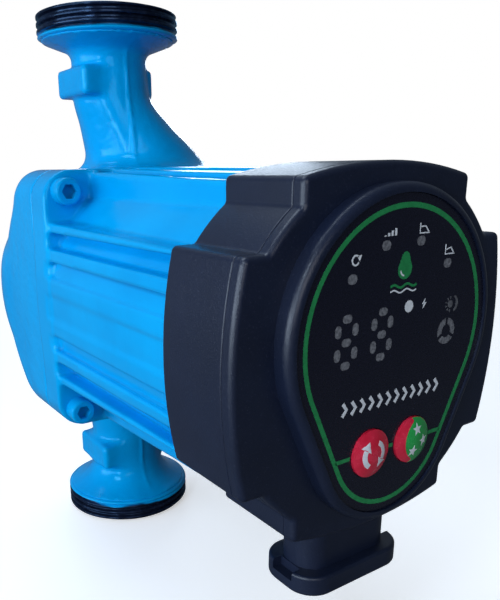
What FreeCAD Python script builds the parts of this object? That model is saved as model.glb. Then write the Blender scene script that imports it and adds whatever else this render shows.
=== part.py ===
import FreeCAD, Part
import math
import os

# Wet-rotor heating circulator pump.  Millimetres.
# While it is modelled, the motor axis is the Y axis and the ports lie on the Z axis.
# export() lifts everything, so that the origin is the centre of the lower port's face.
# The control panel faces -Y and the water flows towards +Z.

V = FreeCAD.Vector

# Driving dimensions of the standard this pump is built to
PORT_TO_PORT = 180.0          # installation length between the two gasket faces
THREAD_MAJOR_RADIUS = 23.9    # G 1 1/2 pipe thread
THREAD_LENGTH = 8.0
AXIS_HEIGHT = PORT_TO_PORT / 2

# Pump casting
PORT_BORE_RADIUS = 14.0
PORT_BORE_DEPTH = 8.0
WATERWAY_RADIUS = 9.5
NECK_RADIUS = 13.0
NECK_TOP = 78.0               # height above the axis where a neck meets its threaded collar
LUG_REACH = 15.0              # spanner lug, from the port axis to its side face
LUG_HALF_DEPTH = 11.5
LUG_LOW, LUG_HIGH = 64.0, 73.0
PAD_REACH, PAD_HALF_DEPTH = 13.4, 7.0     # flat pad opposite the lug
VOLUTE_RADIUS = 40.5
VOLUTE_BACK = 22.0
VOLUTE_EDGE_RADIUS = 9.0
FLANGE_HALF = 40.2
FLANGE_CORNER_RADIUS = 9.0
FLANGE_BACK = -3.0            # its upper part; the flange is thicker round the lower half
FLANGE_LOWER_BACK = 6.0
FLANGE_SLOPE_TOP, FLANGE_SLOPE_FOOT = 22.0, -16.0
JOINT_Y = -24.0               # plane where the motor housing bolts to the pump casting
CHAMBER_RADIUS = 30.0
CHAMBER_BACK = -12.5
PARTITION_BACK = -6.0
INLET_CHAMBER_RADIUS = 19.0
INLET_CHAMBER_BACK = 16.0
NECK_RING_OUTER = 10.6
NECK_RING_INNER = 9.7

# Motor housing
MOTOR_FLANGE_FRONT = -35.0
MOTOR_FRONT = -106.0
MOTOR_WALL_BACK = -99.0
STATOR_SEAT_RADIUS = 34.5
RECESS_RADIUS = 37.0
RECESS_FLOOR = -29.3
MOTOR_CORE_BACK_RADIUS = 40.4
MOTOR_CORE_FRONT_RADIUS = 39.9
GROOVES = ((-4.0, 4.0), (8.8, 13.8), (17.4, 22.3), (-13.8, -8.8), (-22.3, -17.4))
GROOVE_BACK = -32.0
GROOVE_RUNOUT = 3.0
SCREW_SPACING = 34.05         # half the square that the four M5 screws make
SCREW_HEAD_RADIUS = 3.95
SCREW_HEAD_EDGE = 0.8
SCREW_HEAD_HEIGHT = 5.0
SCREW_KEY_ACROSS_FLATS = 4.0
SCREW_RADIUS = 2.5
SCREW_LENGTH = 20.0
SCREW_CLEARANCE_RADIUS = 2.75

# Four-lobed outline that the motor housing and the control box share:
# half width of a lobe, height of its corner, height of its crown, radius of the round core
BOX_SECTION = (24.6, 38.3, 41.3, 41.0)
MOTOR_BACK_SECTION = (25.2, 39.4, 40.8, MOTOR_CORE_BACK_RADIUS)
MOTOR_FRONT_SECTION = (23.6, 37.3, 40.3, MOTOR_CORE_FRONT_RADIUS)

# Motor inside
CAN_INNER_RADIUS = 16.4
CAN_WALL = 0.6
CAN_END = -88.0
CAN_CUP_RADIUS = 9.4
CAN_CUP_END = -98.0
SHAFT_RADIUS = 4.0
SHAFT_BACK, SHAFT_FRONT = -16.0, -96.5
BEARING_BORE_RADIUS = 4.04
BEARING_OUTER_RADIUS = 8.0
BEARING_PLATE_BACK = -26.0
BEARING_PLATE_FRONT = -27.5
HUB_END = -39.0
ROTOR_BACK, ROTOR_FRONT = -42.0, -82.0
ROTOR_RADIUS = 15.3
ROTOR_SLEEVE_RADIUS = 15.9
IMPELLER_RADIUS = 27.0
IMPELLER_BACK = -24.6
VANE_COUNT = 6
STATOR_OUTER_RADIUS = 34.4
STATOR_BORE_RADIUS = 17.3
STATOR_BACK, STATOR_FRONT = -44.0, -80.0
TOOTH_COUNT = 6
TOOTH_WIDTH = 8.0
YOKE_INNER_RADIUS = 28.4

# Control box
BOX_BACK = -103.6
BOX_FLOOR_BACK = -106.5
BOX_FLOOR_FRONT = -109.0
BOX_SPLIT = -125.65
BOX_FRONT = -129.0
BOX_WALL = 2.5
LOBE_CORNER_RADIUS = 1.5
BOX_BACK_RADIUS = 0.7
COVER_EDGE_RADIUS = 1.3
SEAM_RADIUS = 0.35           # where the cover meets the base
PANEL_FRONT = -132.8
PANEL_THICKNESS = 0.5
RIM_FRONT = -133.3
UPPER_CENTRE_Z, UPPER_RADIUS = 6.0, 26.6      # the two circles that the panel outline wraps
LOWER_CENTRE_Z, LOWER_RADIUS = -15.6, 17.4
RIM_OUTER_OFFSET = 4.6
RIM_INNER_OFFSET = 2.5
OVERLAY_OFFSET = 2.4
PANEL_CAVITY_OFFSET = 1.4
BUTTON_X, BUTTON_Z = 6.7, -19.9
BUTTON_RADIUS = 5.5
BUTTON_GAP = 0.15
BUTTON_TRAVEL = 0.8
DIGIT_CENTRES = ((-15.65, 6.3), (-5.4, 6.5))
DIGIT_HALF_WIDTH, DIGIT_HALF_HEIGHT = 4.5, 6.9
SEGMENT_LENGTH, SEGMENT_WIDTH = 2.6, 1.7
SEGMENT_ROW, SEGMENT_COLUMN = 4.85, 2.4
MODE_RING_RADIUS = 19.7
MODE_ANGLES = (44.0, 76.0, 107.0, 139.0)
DIAL_CENTRE = (15.9, 4.2)
POWER_DOT = (2.5, 11.5)
SOCKET_HALF_WIDTH = 14.0
SOCKET_FRONT, SOCKET_BACK = -123.5, -110.5
SOCKET_NECK_RADIUS = 5.5
SOCKET_LIP = 3.0
SOCKET_LIP_RADIUS = 7.0
SOCKET_LIP_TOP, SOCKET_BOTTOM = -53.3, -58.5
SOCKET_NOTCH_FRONT, SOCKET_NOTCH_BACK, SOCKET_NOTCH_FLOOR = -120.5, -113.5, -55.6
SOCKET_WALL = 2.0
SOCKET_LINER_WALL = 1.0
SOCKET_PIN_X = (-6.0, 0.0, 6.0)
SOCKET_PIN_Y = -117.0
SOCKET_PIN_RADIUS = 1.0
SOCKET_FLOOR = -43.0
DISPLAY_BOARD_BACK, DISPLAY_BOARD_FRONT = -120.4, -122.0
POWER_BOARD_BACK, POWER_BOARD_FRONT = -114.0, -115.6


def box(x_range, y_range, z_range):
    low = [min(x_range), min(y_range), min(z_range)]
    size = [abs(r[1] - r[0]) for r in (x_range, y_range, z_range)]
    return Part.makeBox(size[0], size[1], size[2], V(*low))


def rod_y(radius, y_from, y_to, x=0.0, z=0.0):
    low = min(y_from, y_to)
    return Part.makeCylinder(radius, abs(y_to - y_from), V(x, low, z), V(0, 1, 0))


def ring_y(outer, inner, y_from, y_to, x=0.0, z=0.0):
    return rod_y(outer, y_from, y_to, x, z).cut(rod_y(inner, y_from, y_to, x, z))


def rod_z(radius, z_from, z_to, x=0.0, y=0.0):
    low = min(z_from, z_to)
    return Part.makeCylinder(radius, abs(z_to - z_from), V(x, y, low), V(0, 0, 1))


def cone_z(radius_from, radius_to, z_from, z_to):
    direction = V(0, 0, math.copysign(1, z_to - z_from))
    return Part.makeCone(radius_from, radius_to, abs(z_to - z_from), V(0, 0, z_from), direction)


def fuse(shapes):
    first = shapes[0]
    joined = first.multiFuse(shapes[1:]) if len(shapes) > 1 else first
    return joined.removeSplitter()


def around_y(shape, degrees):
    turned = shape.copy()
    turned.rotate(V(0, 0, 0), V(0, 1, 0), degrees)
    return turned


def around_z(shape, degrees):
    turned = shape.copy()
    turned.rotate(V(0, 0, 0), V(0, 0, 1), degrees)
    return turned


def corners(half_x, half_z=None):
    half_z = half_x if half_z is None else half_z
    return [(sx * half_x, sz * half_z) for sx in (-1, 1) for sz in (-1, 1)]


def prism(face, y_from, y_to):
    """Extrude a face drawn in the plane y = y_from."""
    return face.extrude(V(0, y_to - y_from, 0))


def rounded_rectangle_y(half_x, half_z, radius, y_from, y_to, centre=(0.0, 0.0)):
    cx, cz = centre
    block = box((cx - half_x, cx + half_x), (y_from, y_to), (cz - half_z, cz + half_z))
    return block.makeFillet(radius, [e for e in block.Edges if is_along(e, V(0, 1, 0))])


def is_along(edge, direction):
    if len(edge.Vertexes) < 2:
        return False
    run = edge.Vertexes[1].Point - edge.Vertexes[0].Point
    return run.cross(direction).Length < 1e-6


def edges_in_plane_y(shape, y):
    return [e for e in shape.Edges
            if abs(e.BoundBox.YMin - y) < 1e-4 and abs(e.BoundBox.YMax - y) < 1e-4]


# --- the shared four-lobed outline -------------------------------------------------

def shrunk(section, amount):
    return tuple(value - amount for value in section)


def lobe_wire(section, y):
    half_width, corner, crown = section[:3]
    left_low, left_high = V(-half_width, y, 0), V(-half_width, y, corner)
    right_low, right_high = V(half_width, y, 0), V(half_width, y, corner)
    return Part.Wire([
        Part.LineSegment(left_low, left_high).toShape(),
        Part.Arc(left_high, V(0, y, crown), right_high).toShape(),
        Part.LineSegment(right_high, right_low).toShape(),
        Part.LineSegment(right_low, left_low).toShape()])


def four_lobes(section_from, section_to, y_from, y_to):
    wires = [lobe_wire(section_from, y_from), lobe_wire(section_to, y_to)]
    lobe = Part.makeLoft(wires, True, True)
    return fuse([around_y(lobe, quarter * 90) for quarter in range(4)])


def lobed_prism(section, y_from, y_to):
    lobe = prism(Part.Face(lobe_wire(section, y_from)), y_from, y_to)
    lobes = [around_y(lobe, quarter * 90) for quarter in range(4)]
    return fuse(lobes + [rod_y(section[3], y_from, y_to)])


def rounded_lobed_prism(y_from, y_to):
    """Outside of the control box, with its corners rounded."""
    body = lobed_prism(BOX_SECTION, y_from, y_to)
    return body.makeFillet(LOBE_CORNER_RADIUS,
                           [e for e in body.Edges if is_along(e, V(0, 1, 0))])


def lobed_ring(outer_shrink, inner_shrink, y_from, y_to):
    outer = lobed_prism(shrunk(BOX_SECTION, outer_shrink), y_from, y_to)
    return outer.cut(lobed_prism(shrunk(BOX_SECTION, inner_shrink), y_from, y_to))


# --- the teardrop outline of the control panel --------------------------------------

def teardrop(offset, y_from, y_to):
    upper, lower = UPPER_RADIUS + offset, LOWER_RADIUS + offset
    slope = (UPPER_RADIUS - LOWER_RADIUS) / (UPPER_CENTRE_Z - LOWER_CENTRE_Z)
    nx, nz = math.sqrt(1 - slope * slope), -slope
    upper_right = V(upper * nx, y_from, UPPER_CENTRE_Z + upper * nz)
    upper_left = V(-upper_right.x, y_from, upper_right.z)
    lower_right = V(lower * nx, y_from, LOWER_CENTRE_Z + lower * nz)
    lower_left = V(-lower_right.x, y_from, lower_right.z)
    top = V(0, y_from, UPPER_CENTRE_Z + upper)
    bottom = V(0, y_from, LOWER_CENTRE_Z - lower)
    wire = Part.Wire([
        Part.Arc(upper_right, top, upper_left).toShape(),
        Part.LineSegment(upper_left, lower_left).toShape(),
        Part.Arc(lower_left, bottom, lower_right).toShape(),
        Part.LineSegment(lower_right, upper_right).toShape()])
    return prism(Part.Face(wire), y_from, y_to)


# --- pump casting -------------------------------------------------------------------

def port_collar():
    """Threaded collar of the upper port, with the flare that runs into its neck."""
    top = AXIS_HEIGHT
    low = top - THREAD_LENGTH
    major = THREAD_MAJOR_RADIUS
    chamfer = 0.8
    outline = [(0, top), (major - chamfer, top), (major, top - chamfer), (major, low),
               (major - 1.3, low - 0.8), (16.5, NECK_TOP + 0.6)]
    neck_start = (NECK_RADIUS, NECK_TOP - 4.0)
    points = [V(r, 0, z) for r, z in outline]
    edges = [Part.LineSegment(a, b).toShape() for a, b in zip(points, points[1:])]
    bend = V(NECK_RADIUS + 0.9, 0, NECK_TOP - 1.3)
    end = V(neck_start[0], 0, neck_start[1])
    foot = V(0, 0, neck_start[1])
    edges += [Part.Arc(points[-1], bend, end).toShape(),
              Part.LineSegment(end, foot).toShape(),
              Part.LineSegment(foot, points[0]).toShape()]
    return Part.Face(Part.Wire(edges)).revolve(V(0, 0, 0), V(0, 0, 1), 360)


def round_loft(sections):
    """Loft through circles given as (height, radius, x of the centre)."""
    wires = [Part.Wire(Part.makeCircle(radius, V(x, 0, z), V(0, 0, 1)))
             for z, radius, x in sections]
    return Part.makeLoft(wires, True, False)


def spanner_lug(sign):
    heights = (sign * LUG_LOW, sign * LUG_HIGH)
    block = box((-LUG_REACH, 0), (-LUG_HALF_DEPTH, LUG_HALF_DEPTH), heights)
    block = block.makeFillet(1.2, [e for e in block.Edges if e.BoundBox.XMin < -LUG_REACH + 0.1])
    pad = box((0, PAD_REACH), (-PAD_HALF_DEPTH, PAD_HALF_DEPTH), heights)
    return fuse([block, pad])


def waterway():
    """Everything that the water fills inside the casting."""
    upper_mouth = fuse([
        rod_z(PORT_BORE_RADIUS, AXIS_HEIGHT - PORT_BORE_DEPTH, AXIS_HEIGHT),
        cone_z(PORT_BORE_RADIUS, WATERWAY_RADIUS, AXIS_HEIGHT - PORT_BORE_DEPTH, NECK_TOP)])
    lower_mouth = upper_mouth.mirror(V(0, 0, 0), V(0, 0, 1))
    throat = V(16, -15, -44)
    outlet = fuse([
        upper_mouth, rod_z(WATERWAY_RADIUS, 60, NECK_TOP),
        Part.makeCylinder(WATERWAY_RADIUS - 0.5, 38, V(0, 0, 62), throat)])
    rise = V(0, 6, 44)
    inlet = fuse([
        lower_mouth, rod_z(WATERWAY_RADIUS, -NECK_TOP, -58),
        Part.makeCylinder(WATERWAY_RADIUS, rise.Length, V(0, 0, -60), rise)])
    return [outlet, inlet,
            rod_y(CHAMBER_RADIUS, JOINT_Y, CHAMBER_BACK),
            rod_y(NECK_RING_OUTER, CHAMBER_BACK, PARTITION_BACK),
            rod_y(INLET_CHAMBER_RADIUS, PARTITION_BACK, INLET_CHAMBER_BACK)]


def above_flange_slope():
    """What is cut off the back of the flange, from its upper half down a slope."""
    outline = [(FLANGE_BACK, FLANGE_HALF + 1), (FLANGE_BACK, FLANGE_SLOPE_TOP),
               (FLANGE_LOWER_BACK, FLANGE_SLOPE_FOOT), (FLANGE_LOWER_BACK + 1, FLANGE_SLOPE_FOOT),
               (FLANGE_LOWER_BACK + 1, FLANGE_HALF + 1)]
    points = [V(-FLANGE_HALF - 1, y, z) for y, z in outline]
    face = Part.Face(Part.makePolygon(points + points[:1]))
    return face.extrude(V(2 * FLANGE_HALF + 2, 0, 0))


def pump_housing():
    flange = rounded_rectangle_y(FLANGE_HALF, FLANGE_HALF, FLANGE_CORNER_RADIUS,
                                 FLANGE_LOWER_BACK, JOINT_Y)
    flange = flange.makeFillet(4.0, edges_in_plane_y(flange, FLANGE_LOWER_BACK))
    flange = flange.cut(above_flange_slope())
    volute = rod_y(VOLUTE_RADIUS, FLANGE_BACK - 1, VOLUTE_BACK)
    volute = volute.makeFillet(VOLUTE_EDGE_RADIUS, edges_in_plane_y(volute, VOLUTE_BACK))
    upper_neck = round_loft([(20, 22, 13), (46, 20, 11.3), (55, 16.1, 5.3), (63, 13.6, 0.6),
                             (NECK_TOP - 4, NECK_RADIUS, 0)])
    lower_neck = round_loft([(-24, 19, 0), (-46, 15.5, 0), (-55, 13.6, 0),
                             (4 - NECK_TOP, NECK_RADIUS, 0)])
    collar = port_collar()
    casting = fuse([flange, volute, upper_neck, lower_neck, spanner_lug(1), spanner_lug(-1),
                    collar, collar.mirror(V(0, 0, 0), V(0, 0, 1))])
    holes = [rod_y(SCREW_RADIUS, JOINT_Y, MOTOR_FLANGE_FRONT + SCREW_LENGTH, x, z)
             for x, z in corners(SCREW_SPACING)]
    return casting.cut(waterway() + holes)


def neck_ring():
    return ring_y(NECK_RING_OUTER, NECK_RING_INNER, CHAMBER_BACK, PARTITION_BACK)


# --- motor housing ------------------------------------------------------------------

def groove(low, high):
    """Space between two ribs of the lobe on the +X side, with a sloping back end."""
    inner, outer = 30.0, 45.0
    rim_x = 41.5
    points = [V(inner, GROOVE_BACK - GROOVE_RUNOUT, low), V(36, GROOVE_BACK - GROOVE_RUNOUT, low),
              V(rim_x, GROOVE_BACK, low), V(outer, GROOVE_BACK, low),
              V(outer, MOTOR_FRONT - 1, low), V(inner, MOTOR_FRONT - 1, low)]
    face = Part.Face(Part.makePolygon(points + points[:1]))
    return face.extrude(V(0, 0, high - low))


def motor_housing():
    flange = rounded_rectangle_y(FLANGE_HALF, FLANGE_HALF, FLANGE_CORNER_RADIUS,
                                 JOINT_Y, MOTOR_FLANGE_FRONT)
    lobes = four_lobes(MOTOR_BACK_SECTION, MOTOR_FRONT_SECTION, JOINT_Y, MOTOR_FRONT)
    body = fuse([flange, lobes])
    grooves = [around_y(groove(*span), quarter * 90) for span in GROOVES for quarter in range(4)]
    core = Part.makeCone(MOTOR_CORE_BACK_RADIUS, MOTOR_CORE_FRONT_RADIUS,
                         JOINT_Y - MOTOR_FRONT, V(0, JOINT_Y, 0), V(0, -1, 0))
    body = fuse([body.cut(grooves), core])
    hollow = [rod_y(RECESS_RADIUS, JOINT_Y, RECESS_FLOOR),
              rod_y(STATOR_SEAT_RADIUS, RECESS_FLOOR, MOTOR_WALL_BACK),
              rounded_rectangle_y(7, 4, 2, MOTOR_WALL_BACK + 1, MOTOR_FRONT, (0, 22))]
    hollow += [rod_y(SCREW_CLEARANCE_RADIUS, JOINT_Y, MOTOR_FLANGE_FRONT, x, z)
               for x, z in corners(SCREW_SPACING)]
    hollow += [rod_y(2.0, MOTOR_FRONT, MOTOR_WALL_BACK, x, z) for x, z in corners(19)]
    return body.cut(hollow)


def hexagon_y(across_flats, y_from, y_to, x, z):
    radius = across_flats / math.sqrt(3)
    points = [V(x + radius * math.cos(math.radians(60 * i)), y_from,
                z + radius * math.sin(math.radians(60 * i))) for i in range(7)]
    return prism(Part.Face(Part.makePolygon(points)), y_from, y_to)


def cap_screw(seat_y, x, z, head_radius, head_height, head_edge, radius, length, key):
    """Socket head cap screw whose head stands in front of seat_y."""
    head_front = seat_y - head_height
    head = rod_y(head_radius, seat_y, head_front, x, z)
    head = head.makeFillet(head_edge, edges_in_plane_y(head, head_front))
    screw = fuse([head, rod_y(radius, seat_y, seat_y + length, x, z)])
    return screw.cut(hexagon_y(key, head_front, head_front + head_height / 2, x, z))


def housing_screws():
    return Part.makeCompound([
        cap_screw(MOTOR_FLANGE_FRONT, x, z, SCREW_HEAD_RADIUS, SCREW_HEAD_HEIGHT,
                  SCREW_HEAD_EDGE, SCREW_RADIUS, SCREW_LENGTH, SCREW_KEY_ACROSS_FLATS)
        for x, z in corners(SCREW_SPACING)])


def housing_gasket():
    return ring_y(RECESS_RADIUS - 0.2, CHAMBER_RADIUS + 1, JOINT_Y, BEARING_PLATE_BACK)


# --- impeller and rotor --------------------------------------------------------------

def vane(turn):
    """Backward-curved vane: seen from the panel the impeller turns anticlockwise."""
    y_from, y_to = IMPELLER_BACK + 1.8, IMPELLER_BACK + 8.0
    thickness = 1.4

    def at(radius, degrees):
        angle = math.radians(turn - degrees)
        return V(radius * math.cos(angle), y_from, radius * math.sin(angle))

    front = Part.Arc(at(8.5, 0), at(16.5, 22), at(26.5, 62)).toShape()
    back = Part.Arc(at(8.5, -9), at(16.5, 22 - 5), at(26.5, 62 - thickness * 2)).toShape()
    ends = [Part.LineSegment(at(8.5, 0), at(8.5, -9)).toShape(),
            Part.LineSegment(at(26.5, 62), at(26.5, 62 - thickness * 2)).toShape()]
    wire = Part.Wire(Part.__sortEdges__([front, back] + ends))
    return prism(Part.Face(wire), y_from, y_to)


def impeller():
    shroud = rod_y(IMPELLER_RADIUS, IMPELLER_BACK, IMPELLER_BACK + 1.8)
    hub = rod_y(6.5, IMPELLER_BACK, IMPELLER_BACK + 8.0)
    vanes = [vane(i * 360 / VANE_COUNT) for i in range(VANE_COUNT)]
    blank = fuse([shroud, hub] + vanes)
    return blank.cut(rod_y(SHAFT_RADIUS, IMPELLER_BACK, SHAFT_BACK))


def impeller_shroud():
    """Front shroud, whose ring runs inside the neck ring."""
    back = IMPELLER_BACK + 8.0
    disc = rod_y(IMPELLER_RADIUS, back, back + 1.6)
    eye_ring = rod_y(NECK_RING_INNER - 0.2, back, CHAMBER_BACK + 4.5)
    return fuse([disc, eye_ring]).cut(rod_y(8.2, back, CHAMBER_BACK + 4.5))


def shaft():
    return rod_y(SHAFT_RADIUS, SHAFT_BACK, SHAFT_FRONT)


def rotor_magnet():
    return ring_y(ROTOR_RADIUS, SHAFT_RADIUS, ROTOR_BACK, ROTOR_FRONT)


def rotor_sleeve():
    return ring_y(ROTOR_SLEEVE_RADIUS, ROTOR_RADIUS, ROTOR_BACK, ROTOR_FRONT)


def rotor_end_rings():
    return Part.makeCompound([
        ring_y(ROTOR_SLEEVE_RADIUS, SHAFT_RADIUS, ROTOR_BACK, ROTOR_BACK + 1),
        ring_y(ROTOR_SLEEVE_RADIUS, SHAFT_RADIUS, ROTOR_FRONT, ROTOR_FRONT - 1)])


def thrust_ring():
    return ring_y(7.5, SHAFT_RADIUS, HUB_END - 0.1, ROTOR_BACK + 1)


# --- parts that hold the rotor ----------------------------------------------------------

def bearing_plate():
    disc = rod_y(RECESS_RADIUS - 0.2, BEARING_PLATE_BACK, BEARING_PLATE_FRONT)
    hub = rod_y(BEARING_OUTER_RADIUS + 1.8, BEARING_PLATE_BACK, HUB_END)
    vents = [rod_y(1.2, BEARING_PLATE_BACK, BEARING_PLATE_FRONT, x, z) for x, z in corners(9.5)]
    return fuse([disc, hub]).cut([rod_y(BEARING_OUTER_RADIUS, BEARING_PLATE_BACK, HUB_END)] + vents)


def front_bearing():
    return ring_y(BEARING_OUTER_RADIUS, BEARING_BORE_RADIUS, BEARING_PLATE_BACK - 1, HUB_END)


def rotor_can():
    """Thin cup that keeps the water away from the stator."""
    outer = CAN_INNER_RADIUS + CAN_WALL
    flange = rod_y(RECESS_RADIUS - 0.4, RECESS_FLOOR + 0.8, RECESS_FLOOR)
    tube = rod_y(outer, RECESS_FLOOR, CAN_END - CAN_WALL)
    cup = rod_y(CAN_CUP_RADIUS + CAN_WALL, CAN_END, CAN_CUP_END - CAN_WALL)
    return fuse([flange, tube, cup]).cut([
        rod_y(CAN_INNER_RADIUS, RECESS_FLOOR + 0.8, CAN_END),
        rod_y(CAN_CUP_RADIUS, CAN_END, CAN_CUP_END)])


def can_gasket():
    return ring_y(RECESS_RADIUS - 0.4, CHAMBER_RADIUS, BEARING_PLATE_FRONT, RECESS_FLOOR + 0.8)


def rear_bearing():
    return ring_y(BEARING_OUTER_RADIUS, BEARING_BORE_RADIUS, CAN_END - 1, CAN_CUP_END + 1)


def rear_bearing_holder():
    return ring_y(CAN_CUP_RADIUS, BEARING_OUTER_RADIUS, CAN_END - 1, CAN_CUP_END + 1)


def at_each_tooth(shape):
    return [around_y(shape, i * 360 / TOOTH_COUNT) for i in range(TOOTH_COUNT)]


def stator_core():
    yoke = ring_y(STATOR_OUTER_RADIUS, YOKE_INNER_RADIUS, STATOR_BACK, STATOR_FRONT)
    tooth = box((-TOOTH_WIDTH / 2, TOOTH_WIDTH / 2), (STATOR_BACK, STATOR_FRONT),
                (STATOR_BORE_RADIUS + 1, YOKE_INNER_RADIUS + 1))
    shoes = ring_y(STATOR_BORE_RADIUS + 1.4, STATOR_BORE_RADIUS, STATOR_BACK, STATOR_FRONT)
    gap = around_y(box((-1.5, 1.5), (STATOR_BACK, STATOR_FRONT), (10, 25)), 180 / TOOTH_COUNT)
    return fuse([yoke, shoes.cut(at_each_tooth(gap))] + at_each_tooth(tooth))


def tooth_frame(inner_margin, outer_margin, low, high):
    """Rectangular frame around the tooth on the +Z side, between two radii."""
    def block(margin, z_range):
        half = TOOTH_WIDTH / 2 + margin
        return box((-half, half), (STATOR_BACK + margin, STATOR_FRONT - margin), z_range)
    return block(outer_margin, (low, high)).cut(block(inner_margin, (low - 1, high + 1)))


def stator_bobbins():
    low, high = STATOR_BORE_RADIUS + 1.7, YOKE_INNER_RADIUS - 1.5
    spool = fuse([tooth_frame(0.0, 0.8, low, high), tooth_frame(0.0, 3.6, low, low + 0.8),
                  tooth_frame(0.0, 3.6, high - 0.8, high)])
    return Part.makeCompound(at_each_tooth(spool))


def stator_coils():
    low, high = STATOR_BORE_RADIUS + 2.5, YOKE_INNER_RADIUS - 2.3
    return Part.makeCompound(at_each_tooth(tooth_frame(0.8, 3.6, low, high)))


def motor_leads():
    return Part.makeCompound([
        rod_y(0.9, STATOR_FRONT - 4.0, POWER_BOARD_BACK, x, 22) for x in (-4, 0, 4)])


# --- control box ---------------------------------------------------------------------------

def box_gasket():
    return ring_y(36.5, 34.0, MOTOR_FRONT, BOX_FLOOR_BACK)


def box_screws():
    return Part.makeCompound([
        cap_screw(BOX_FLOOR_FRONT, x, z, 3.5, 3.2, 0.4, 2.0, 9.0, 3.0) for x, z in corners(19)])


def socket_block(margin, z_from, z_to, radius):
    """Rounded block round the socket's neck, margin wider on every side."""
    block = box((-SOCKET_HALF_WIDTH - margin, SOCKET_HALF_WIDTH + margin),
                (SOCKET_BACK + margin, SOCKET_FRONT - margin), (z_from, z_to))
    return block.makeFillet(radius, [e for e in block.Edges if is_along(e, V(0, 0, 1))])


def socket_lip():
    """Collar round the socket's mouth, notched at both sides for the plug's latches."""
    lip = socket_block(SOCKET_LIP, SOCKET_LIP_TOP, SOCKET_BOTTOM, SOCKET_LIP_RADIUS)
    rims = [e for e in lip.Edges if e.BoundBox.ZLength < 0.01]
    lip = lip.makeFillet(0.8, rims)
    reach = SOCKET_HALF_WIDTH + SOCKET_LIP + 1
    notches = [box((side * (SOCKET_HALF_WIDTH + 0.3), side * reach),
                   (SOCKET_NOTCH_FRONT, SOCKET_NOTCH_BACK),
                   (SOCKET_NOTCH_FLOOR, SOCKET_LIP_TOP + 1)) for side in (-1, 1)]
    return lip.cut(notches)


def control_box_base():
    shell = rounded_lobed_prism(BOX_BACK, BOX_SPLIT)
    shell = shell.makeFillet(BOX_BACK_RADIUS, edges_in_plane_y(shell, BOX_BACK))
    shell = shell.makeFillet(SEAM_RADIUS, edges_in_plane_y(shell, BOX_SPLIT))
    neck = socket_block(0, -37, SOCKET_LIP_TOP - 1, SOCKET_NECK_RADIUS)
    body = fuse([shell, neck, socket_lip()])
    hollow = [lobed_prism(shrunk(BOX_SECTION, BOX_WALL), BOX_FLOOR_FRONT, BOX_SPLIT),
              four_lobes(shrunk(BOX_SECTION, 0.9), shrunk(BOX_SECTION, 0.9), BOX_BACK,
                         BOX_FLOOR_BACK),
              rod_y(BOX_SECTION[3] - 0.9, BOX_BACK, BOX_FLOOR_BACK),
              socket_block(-SOCKET_WALL, SOCKET_FLOOR, SOCKET_BOTTOM, 2),
              box((-8, 8), (-113.5, -119), (-35, SOCKET_FLOOR)),
              rounded_rectangle_y(7, 4, 2, BOX_FLOOR_BACK, BOX_FLOOR_FRONT, (0, 22)),
              lobed_ring(0.8, 1.8, BOX_SPLIT, BOX_SPLIT + 0.8)]
    hollow += [rod_y(2.2, BOX_FLOOR_BACK, BOX_FLOOR_FRONT, x, z) for x, z in corners(19)]
    body = body.cut(hollow)
    posts = [ring_y(3.0, 1.25, BOX_FLOOR_FRONT, POWER_BOARD_BACK, x, z)
             for x, z in corners(29, 12)]
    return fuse([body] + posts)


def power_socket():
    """Insulating liner of the mains socket, with the wall that carries its pins."""
    liner = socket_block(-SOCKET_WALL, SOCKET_FLOOR, SOCKET_BOTTOM + 1, 2)
    mouth = socket_block(-SOCKET_WALL - SOCKET_LINER_WALL, SOCKET_FLOOR - 2.5,
                         SOCKET_BOTTOM + 1, 1.2)
    pins = [rod_z(SOCKET_PIN_RADIUS, SOCKET_FLOOR, SOCKET_FLOOR - 2.5, x, SOCKET_PIN_Y)
            for x in SOCKET_PIN_X]
    return liner.cut([mouth] + pins)


def socket_pins():
    return Part.makeCompound([
        rod_z(SOCKET_PIN_RADIUS, SOCKET_FLOOR + 3, SOCKET_FLOOR - 9.5, x, SOCKET_PIN_Y)
        for x in SOCKET_PIN_X])


def power_board():
    board = rod_y(34, POWER_BOARD_BACK, POWER_BOARD_FRONT)
    holes = [rod_y(1.5, POWER_BOARD_BACK, POWER_BOARD_FRONT, x, z) for x, z in corners(29, 12)]
    return board.cut(holes)


def board_screws():
    return Part.makeCompound([
        fuse([rod_y(2.6, POWER_BOARD_FRONT, POWER_BOARD_FRONT - 1.8, x, z),
              rod_y(1.25, POWER_BOARD_FRONT, POWER_BOARD_BACK + 4, x, z)])
        for x, z in corners(29, 12)])


def power_capacitors():
    return Part.makeCompound([
        rod_y(2.9, POWER_BOARD_FRONT, DISPLAY_BOARD_BACK + 0.6, x, -14) for x in (-22, -14.5)])


def suppression_choke():
    return ring_y(6.0, 3.0, POWER_BOARD_FRONT, DISPLAY_BOARD_BACK + 0.6, 0, -17)


def power_module():
    return box((10, 26), (POWER_BOARD_FRONT, DISPLAY_BOARD_BACK + 1.0), (-22, -12))


def motor_connector():
    block = box((-7, 7), (POWER_BOARD_FRONT, DISPLAY_BOARD_BACK + 0.8), (18, 26))
    return block


def board_link():
    pins = [box((x - 0.3, x + 0.3), (POWER_BOARD_FRONT, DISPLAY_BOARD_BACK), (1.7, 2.3))
            for x in range(-6, 8, 2)]
    carrier = box((-7.5, 7.5), (-117.0, -119.2), (0.5, 3.5))
    return fuse([carrier] + pins)


def display_board():
    return teardrop(-2.0, DISPLAY_BOARD_BACK, DISPLAY_BOARD_FRONT)


def light_front():
    return PANEL_FRONT + PANEL_THICKNESS + 0.2


def digit_block(centre, gap, y_from, y_to):
    x, z = centre
    half_x, half_z = DIGIT_HALF_WIDTH + gap, DIGIT_HALF_HEIGHT + gap
    return box((x - half_x, x + half_x), (y_from, y_to), (z - half_z, z + half_z))


def digit_modules():
    return Part.makeCompound([
        digit_block(centre, 0, DISPLAY_BOARD_FRONT, light_front()) for centre in DIGIT_CENTRES])


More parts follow.
